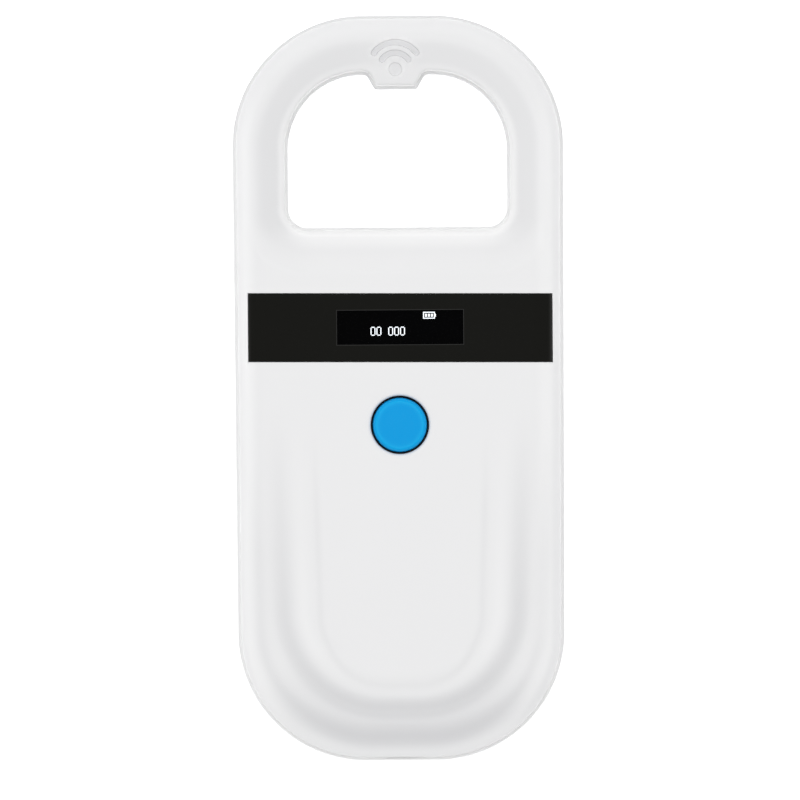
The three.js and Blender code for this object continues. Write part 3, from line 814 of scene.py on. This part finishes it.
def rearSkin():
    seam, edge = rearHigh[2], housing["backEdge"]
    rows = softRim(lambda inset: bodyLoop(-inset), rear["rim"], [0, 15, 30, 45, 60, 75, 90])
    rows.append(raised(bodyLoop(0.0), (seam + edge) / 2))
    for inset, rise in arcProfile(edge, 0, 90, 12):
        rows.append(raised(bodyLoop(-inset), edge - rise))
    holeRows = softRim(lambda inset: holeLoop(inset, True), rear["holeRim"], [0, 22, 45, 68, 90])
    for inset, rise in arcProfile(rear["holeFoot"], 0, 90, 6):
        holeRows.append(raised(holeLoop(inset, True), rear["holeFoot"] - rise))
    top, topFaces = fillBetween(rows[0][:, :2], [holeRows[0][:, :2]])
    foot, footFaces = fillBetween(rows[-1][:, :2], [holeRows[-1][:, :2]])
    parts = join(strips(rows), strips(holeRows), (raised(top, seam), topFaces),
                 (raised(foot, 0.0), footFaces))
    return makeMesh("rearShell", *parts)


def rearTools():  # the hollow, with its posts left standing and the buzzer's sound holes
    seam, wall, sound = rearHigh[2], housing["wall"], rear["sound"]
    hollow = prism(bodyLoop(-wall, 2.0), wall, seam + 3)
    carve(hollow, prism(holeLoop(wall, spacing=1.5), 0, seam + 4))
    for x, y in screwMiddles:
        carve(hollow, rod(rear["post"], 0, seam + 4, x, y))
    x, y = sum(boxOf("buzzer"))[:2] / 2
    for i in range(sound["count"]):
        out = 0 if i == 0 else sound["ring"]
        a = i * math.pi / 3
        hole = rod(sound["radius"], -1, wall + 1, x + out * math.cos(a), y + out * math.sin(a), 20)
        carve(hollow, hole, "UNION")
    return hollow


def rearPaintedShading(places):
    seam, y = rearHigh[2], places[:, 1]
    out = -depthInside(places[:, :2], bodyLoop(-housing["step"]))
    ledge = smooth(places[:, 2], seam - 0.35, seam) * (1 - smooth(out, 0.15, 0.6))
    rim = rearPaintedShades["tail"] * (1 - smooth(y, -60, -42)) - rearPaintedShades["top"] * smooth(y, 35, 60)
    return 1 + smooth(places[:, 2], 5.5, 8) * (rim + rearPaintedShades["ledge"] * ledge)


def rearShell():
    shell, sink = rearSkin(), rear["sink"]
    carve(shell, rearTools())
    seat = boxOf("housing_screw_1")[0][2] + sink["depth"]
    profile = [(sink["mouth"], -1), (sink["mouth"], 0), (sink["radius"], 0.15), (sink["radius"], seat),
               (sink["bore"], seat), (sink["bore"], rearHigh[2] + 2)]
    for x, y in screwMiddles:
        carve(shell, turned("form", profile, x, y, 40))
    settle(shell, 32)
    # Paints light and shade into the rear shell's colour.
    setPaintedShading(shell, rearPaintedShading(placesOf(shell)))
    return finishPiece(shell, "housing_white", "housing", "rear_shell", finish="shellWhite")


def finishPiece(piece, slot, body, *nodes, finish=None):
    piece.data.materials.clear()
    piece.data.materials.append(finishes[finish or slot])
    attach(piece, body)
    if nodes:
        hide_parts(*nodes)
    return piece


print("front shell")
frontShell()
print("rear shell")
rearShell()


# Display

windowLook = {"x": 0.17, "rise": 0.07, "half": 11.42, "halfHeight": 3.1, "border": 0.13}


def displayWindow():
    lens = lensForm("displayWindow", 0.04, 0.85, None, 30, -0.01)
    shape = bmesh.new()
    shape.from_mesh(lens.data)
    w, border = windowLook, windowLook["border"]
    middle = (lensLow[1] + lensHigh[1]) / 2 + w["rise"]
    cuts = [(1, w["x"] + s * (w["half"] + b)) for s in (-1, 1) for b in (0, border)]
    cuts += [(0, middle + s * (w["halfHeight"] + b)) for s in (-1, 1) for b in (0, border)]
    for isX, place in cuts:
        normal = (1, 0, 0) if isX else (0, 1, 0)
        point = (place * mm, 0, 0) if isX else (0, place * mm, 0)
        everything = shape.verts[:] + shape.edges[:] + shape.faces[:]
        bmesh.ops.bisect_plane(shape, geom=everything, plane_co=point, plane_no=normal)
    shape.to_mesh(lens.data)
    shape.free()
    finishPiece(lens, "window_black", "housing", "display_window")
    for name in ("windowClear", "windowBorder"):
        lens.data.materials.append(finishes[name])
    for face in lens.data.polygons:
        at = face.center / mm
        out = max(abs(at.x - w["x"]) - w["half"], abs(at.y - middle) - w["halfHeight"])
        if abs(face.normal.z) > 0.9 and out < border:
            face.material_index = 1 if out < 0 else 2
    return lens


def lensFinish(name, colour, **fixed):
    finish = Finish(name, **fixed)
    haze = finish.noise(40.0, 2.0)
    finish.drive(**{
        "Base Color": finish.blendColours(haze, tint(colour, 0.9), colour),
        "Roughness": 0.045 + haze * 0.03,
    })
    return finish.material


finishes["window_black"] = lensFinish("window_black", (0.0099, 0.0099, 0.0086), IOR=1.22)
finishes["windowClear"] = lensFinish("windowClear", (0.0028, 0.0028, 0.003), IOR=1.06, Alpha=0.45)
finishes["windowBorder"] = lensFinish("windowBorder", (0.03, 0.03, 0.029), IOR=1.22)


def litFinish():
    finish = Finish("displayDots", Roughness=0.5)
    flicker = finish.noise(9000.0, 1.0)
    finish.drive(**{
        "Base Color": (0.02, 0.02, 0.02, 1),
        "Emission Color": finish.blendColours(flicker, (0.78, 0.84, 0.9), (0.95, 0.98, 1.0)),
        "Emission Strength": 5.5,
    })
    return finish.material


finishes["displayDots"] = litFinish()


dots = {"pitch": 0.178, "dot": 0.168, "thick": 0.03, "digits": "00 000", "left": -5.1, "top": 0.05,
        "signLeft": 4.42, "signTop": 2.7}


def litCells(rows, left, top, column=0):  # middles of the dots that are marked in the rows
    pitch = dots["pitch"]
    return [(left + (column + c) * pitch, top - r * pitch)
            for r, row in enumerate(rows) for c, mark in enumerate(row) if mark == "#"]


# Lit dots of the display: a row of noughts, and a small battery sign with three bars.
def displayDots():
    nought = [".###.", *["#...#"] * 7, ".###."]
    sign = ["############.", "#..........#.", *["#.##.##.##.##"] * 3, "#..........#.", "############."]
    low, high = boxOf("oled_panel")
    middle = (low[1] + high[1]) / 2
    cells = []
    for index, digit in enumerate(dots["digits"]):
        if digit == "0":
            cells += litCells(nought, dots["left"], dots["top"], index * 6)
    cells += litCells(sign, dots["signLeft"], dots["signTop"])
    points, faces = [], []
    size, z, halfThick = dots["dot"] / 2, high[2] + 0.02, dots["thick"] / 2
    for x, y in cells:
        first = len(points)
        for dz in (-halfThick, halfThick):
            points += [(x + sx * size, middle + y + sy * size, z + dz) for sx, sy in
                       ((-1, -1), (1, -1), (1, 1), (-1, 1))]
        sides = [(i, (i + 1) % 4, (i + 1) % 4 + 4, i + 4) for i in range(4)]
        faces += [tuple(first + i for i in face) for face in [(3, 2, 1, 0), (4, 5, 6, 7), *sides]]
    piece = makeMesh("displayDots", points, faces)
    return finishPiece(piece, "display_glass", "housing", finish="displayDots")


print("display")
displayWindow()
displayDots()


# Button

def buttonCap():
    # ring is the strength of the painted highlight near the cap's edge.
    look = {"radius": 4.88, "edge": 0.8, "crown": 0.12, "stem": 2.0, "step": 0.7, "flange": 1.6,
            "ring": 0.2, "rings": 11}
    x, y = (capLow[:2] + capHigh[:2]) / 2
    radius, low, top = look["radius"], capLow[2], capHigh[2] - look["crown"]
    flange = (capHigh[0] - capLow[0]) / 2
    profile = [(0, low), (look["stem"], low), (look["stem"], low + look["step"]),
               (flange - 0.15, low + look["step"]), (flange, low + 0.85), (flange, low + 1.5),
               (flange - 0.1, low + look["flange"]), (radius, low + look["flange"])]
    for inset, rise in arcProfile(look["edge"], 0, 90, 9):
        profile.append((radius - inset, top - look["edge"] + rise))
    flat = radius - look["edge"]
    for i in range(1, look["rings"] + 1):
        r = flat * (1 - i / look["rings"])
        profile.append((r, top + look["crown"] * (1 - (r / flat) ** 2)))
    cap = turned("buttonCap", profile, x, y, 96, 35)
    # Painted highlight in a ring just inside the cap's rounded edge.
    reach = np.linalg.norm(placesOf(cap)[:, :2] - [x, y], axis=1)
    setPaintedShading(cap, 1 + look["ring"] * bell(reach - flat, 0.1, 0.35))
    return finishPiece(cap, "button_blue", "button", "button_cap", finish="capBlue")


def buttonSeal():
    look = {"inner": 4.98, "outer": 5.2, "foot": 0.5, "soft": 0.12, "lean": 0.05}
    low, high = boxOf("button_seal")
    x, y = (low[:2] + high[:2]) / 2
    flange = (high[0] - low[0]) / 2
    inner, outer, lean = look["inner"], look["outer"], look["lean"]
    step, shoulder = low[2] + look["foot"], high[2] - look["soft"]
    rows = [(inner, low[2]), (flange, low[2]), (flange, step), (outer, step), (outer, shoulder),
            (outer - lean, high[2]), (inner + lean, high[2]), (inner, shoulder), (inner, low[2])]
    loops = [raised(circleLoop(x, y, r, 96), z) for r, z in rows]
    seal = makeMesh("buttonSeal", *strips(loops))
    return finishPiece(seal, "seal_black", "housing", "button_seal")


print("button")
buttonCap()
buttonSeal()


# Screws and socket

def caseScrew(index):
    low, high = boxOf(f"housing_screw_{index}")
    x, y = (low[:2] + high[:2]) / 2
    head, foot, tip = (high[0] - low[0]) / 2, low[2], high[2]
    profile = [(0, foot), (head - 0.55, foot + 0.02)]
    profile += [(head - 0.5 * (1 - math.sin(a)), foot + 0.5 * (1 - math.cos(a)))
                for a in np.radians([20, 40, 60, 80, 90])]
    profile += [(head, foot + 1.6), (0.85, foot + 1.6)]
    thread = {"pitch": 0.45, "root": 0.8, "crest": 1.0}
    z = foot + 2.6
    while z < tip - 1.2:
        profile += [(thread["root"], z), (thread["crest"], z + thread["pitch"] / 2)]
        z += thread["pitch"]
    profile += [(thread["root"], tip - 0.9), (0, tip)]
    screw = turned(f"caseScrew{index}", profile, x, y, 32, 35)
    for wide, tall in ((0.28, 1.1), (1.1, 0.28)):
        carve(screw, block(x - wide, x + wide, y - tall, y + tall, foot - 1, foot + 0.75))
    settle(screw, 35)
    return finishPiece(screw, "screw_steel", "housing", f"housing_screw_{index}")


def chargingSocket():
    skin, front, back = 0.28, socketLow[1], socketHigh[1]
    rows = [alongY(socketLoop(0.0), back), alongY(socketLoop(0.0), front + 0.5),
            alongY(socketLoop(0.12), front + 0.12), alongY(socketLoop(0.1), front),
            alongY(socketLoop(-skin + 0.12), front), alongY(socketLoop(-skin), front + 0.45),
            alongY(socketLoop(-skin), back - 0.4)]
    tube = closedRows("chargingSocket", rows)
    return finishPiece(tube, "plated_steel", "housing", "usb_shell")


for index in range(1, 5):
    caseScrew(index)
chargingSocket()
print("screws and socket")


# What stays as the frame has it gets its finish from its slot
slotOf = {part["node"]: part["material_slot"] for part in frame["record"]["subparts"]}
for node, piece in frame["nodes"].items():
    if not piece.hide_render:
        piece.data.materials.clear()
        piece.data.materials.append(finishes[slotOf[node]])
print("frame finishes")


# Floor, light and camera

def floorFinish():
    finish = Finish("floorWhite", Roughness=0.9)
    shade = finish.noise(3.0, 1.0)
    finish.drive(**{
        "Base Color": finish.blendColours(shade, (0.93, 0.93, 0.93), (0.95, 0.95, 0.95)),
        "Emission Color": (1, 1, 1, 1), "Emission Strength": 0.42,
    })
    return finish.material


def makeFloor():
    reach, step = 3000.0, 16
    ticks = np.linspace(-reach, reach, step)
    grid = np.stack(np.meshgrid(ticks, ticks), 2).reshape(-1, 2)
    faces = [(r * step + c, r * step + c + 1, (r + 1) * step + c + 1, (r + 1) * step + c)
             for r in range(step - 1) for c in range(step - 1)]
    floor = makeMesh("floor", raised(grid, -0.05), faces)
    floor.data.materials.append(floorFinish())


studio = {
    "world": (0.99, 0.99, 0.993), "zenith": 0.18, "horizon": 1.2, "band": 0.45,
    "soft": {"size": 1.1, "energy": 11.05, "place": (-0.03, 0.1, 1.1)},
}


def makeWorld():  # a soft tent: dim overhead, bright all round near the horizon
    world = bpy.data.worlds.new("studio")
    scene.world = world
    world.use_nodes = True
    tree = world.node_tree
    ground = tree.nodes["Background"]
    place = tree.nodes.new("ShaderNodeTexCoord")
    split = tree.nodes.new("ShaderNodeSeparateXYZ")
    rise = tree.nodes.new("ShaderNodeMapRange")
    rise.interpolation_type = "SMOOTHSTEP"
    for key, value in (("From Min", 0.0), ("From Max", studio["band"]), ("To Min", studio["horizon"]),
                       ("To Max", studio["zenith"])):
        rise.inputs[key].default_value = value
    tree.links.new(place.outputs["Generated"], split.inputs[0])
    tree.links.new(split.outputs["Z"], rise.inputs["Value"])
    tree.links.new(rise.outputs["Result"], ground.inputs["Strength"])
    ground.inputs["Color"].default_value = (*studio["world"], 1)


def makeLight():
    soft = studio["soft"]
    lamp = bpy.data.lights.new("softBox", "AREA")
    lamp.shape = "DISK"
    lamp.size = soft["size"]
    lamp.energy = soft["energy"]
    holder = bpy.data.objects.new("softBox", lamp)
    scene.collection.objects.link(holder)
    holder.location = soft["place"]
    holder.rotation_mode = "QUATERNION"
    holder.rotation_quaternion = Vector(soft["place"]).to_track_quat("Z", "Y")
    holder.visible_camera = False
    holder.visible_glossy = False


def makeCamera():
    look = {"distance": 3.2, "width": 145.04, "x": 0.05, "y": -2.21, "lean": 0.42, "plane": 11.0}
    lens = bpy.data.cameras.new("camera")
    lens.sensor_width = 36.0
    lens.lens = 36.0 * look["distance"] / (look["width"] * mm)
    lens.clip_end = 20.0
    camera = bpy.data.objects.new("camera", lens)
    scene.collection.objects.link(camera)
    camera.location = (look["x"] * mm, look["y"] * mm, look["distance"] + look["plane"] * mm)
    camera.rotation_euler = (0, 0, math.radians(-look["lean"]))
    scene.camera = camera


makeFloor()
makeWorld()
makeLight()
makeCamera()
scene.view_settings.view_transform = "Standard"
scene.view_settings.look = "None"
